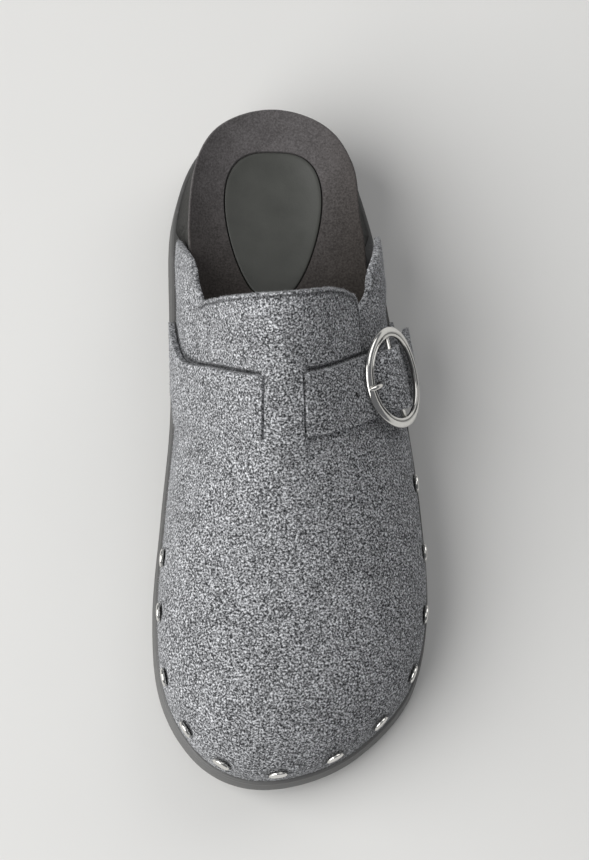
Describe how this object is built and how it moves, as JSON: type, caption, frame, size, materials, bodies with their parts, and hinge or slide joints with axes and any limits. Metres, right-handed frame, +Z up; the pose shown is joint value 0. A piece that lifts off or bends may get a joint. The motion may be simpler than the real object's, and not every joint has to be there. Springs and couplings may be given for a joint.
{
  "type": "felt clog",
  "caption": "Grey felt clog with a closed round toe, open heel, buckled instep strap, studded lower edge and dark moulded sole (left shoe).",
  "frame": {"origin": "middle of the part's box, on the floor under the sole", "axes": "+Y from toe to heel, +X to the outer side of the foot, +Z up"},
  "size_m": [0.1066, 0.264, 0.1005],
  "materials": {
    "outsole_rubber": "matt moulded rubber",
    "midsole_foam": "matt moulded foam",
    "footbed_suede": "brushed suede",
    "patch_leather": "smooth leather",
    "grey_felt": "heathered wool felt",
    "polished_steel": "polished"
  },
  "bodies": {
    "root": {"outsole": "outsole_rubber", "midsole": "midsole_foam", "insole": "footbed_suede", "heel_patch": "patch_leather", "upper": "grey_felt", "strap": "grey_felt", "buckle_chape": "grey_felt", "buckle_frame": "polished_steel", "buckle_prong": "polished_steel", "stud_01": "polished_steel", "stud_02": "polished_steel", "stud_03": "polished_steel", "stud_04": "polished_steel", "stud_05": "polished_steel", "stud_06": "polished_steel", "stud_07": "polished_steel", "stud_08": "polished_steel", "stud_09": "polished_steel", "stud_10": "polished_steel", "stud_11": "polished_steel", "stud_12": "polished_steel"}
  },
  "joints": []
}
